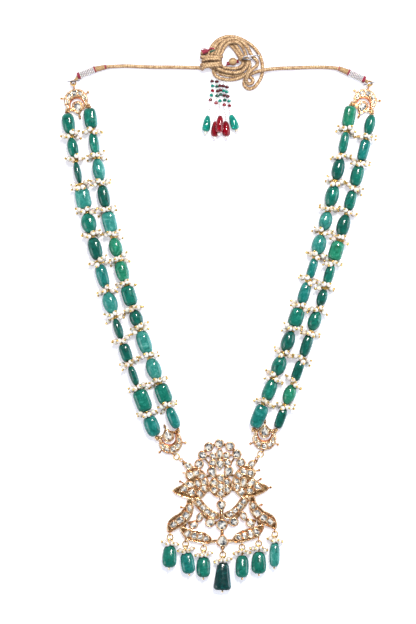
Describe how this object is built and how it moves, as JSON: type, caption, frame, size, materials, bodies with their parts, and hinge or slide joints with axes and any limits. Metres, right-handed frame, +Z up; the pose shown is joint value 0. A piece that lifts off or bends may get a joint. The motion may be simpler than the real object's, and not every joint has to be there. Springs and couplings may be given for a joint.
{
  "type": "necklace",
  "caption": "Pendant necklace: emerald bead strings with pearl clusters, crescent spacers, a kundan peacock pendant with drops, and a knotted cord tie with a small tassel.",
  "frame": {"origin": "under the middle of the bounding box of all but the cord, on the surface that the necklace lies on", "axes": "+X to the viewer's right, +Y from the pendant towards the cord knot, +Z up from the surface to the face that shows the stones"},
  "size_m": [0.1987, 0.3448, 0.0095],
  "materials": {
    "gold": "polished",
    "kundan_stone": "polished",
    "emerald": "polished",
    "pearl": "pearly",
    "thread": "matte",
    "cord": "metallic yarn",
    "seed_bead": "satin",
    "steel": "bright",
    "green_glass": "polished",
    "red_glass": "polished"
  },
  "bodies": {
    "root": {"emeralds_left_outer": "emerald", "emeralds_left_inner": "emerald", "emeralds_right_outer": "emerald", "emeralds_right_inner": "emerald", "pearls_left_outer": "pearl", "pearls_left_inner": "pearl", "pearls_right_outer": "pearl", "pearls_right_inner": "pearl", "thread_left_outer": "thread", "thread_left_inner": "thread", "thread_right_outer": "thread", "thread_right_inner": "thread", "spacer_top_left": "gold", "spacer_top_right": "gold", "spacer_low_left": "gold", "spacer_low_right": "gold", "spacer_stones_top_left": "kundan_stone", "spacer_stones_top_right": "kundan_stone", "spacer_stones_low_left": "kundan_stone", "spacer_stones_low_right": "kundan_stone", "pendant_frame": "gold", "stones_fan": "kundan_stone", "stones_flower": "kundan_stone", "stones_rosette": "kundan_stone", "stones_bird_left": "kundan_stone", "stones_bird_right": "kundan_stone", "stones_bars": "kundan_stone", "stones_wings": "kundan_stone", "stones_settings": "kundan_stone", "stones_leaves": "kundan_stone", "link_rings": "gold", "jump_rings": "gold", "drop_1": "gold", "drop_2": "gold", "drop_3": "gold", "drop_4": "gold", "drop_5": "gold", "drop_6": "gold", "drop_7": "gold", "pin_1": "pearl", "pin_2": "pearl", "pin_3": "pearl", "pin_4": "pearl", "pin_5": "pearl", "pin_6": "pearl", "pin_7": "pearl", "cord_left": "cord", "cord_right": "cord", "cord_coil": "cord", "cord_wrap": "cord", "cord_slider": "gold", "cord_end_left": "seed_bead", "cord_end_right": "seed_bead", "cord_loops": "gold", "steel_wires": "steel", "tassel_strings": "seed_bead", "tassel_green_drops": "green_glass", "tassel_red_drops": "red_glass"}
  },
  "joints": []
}
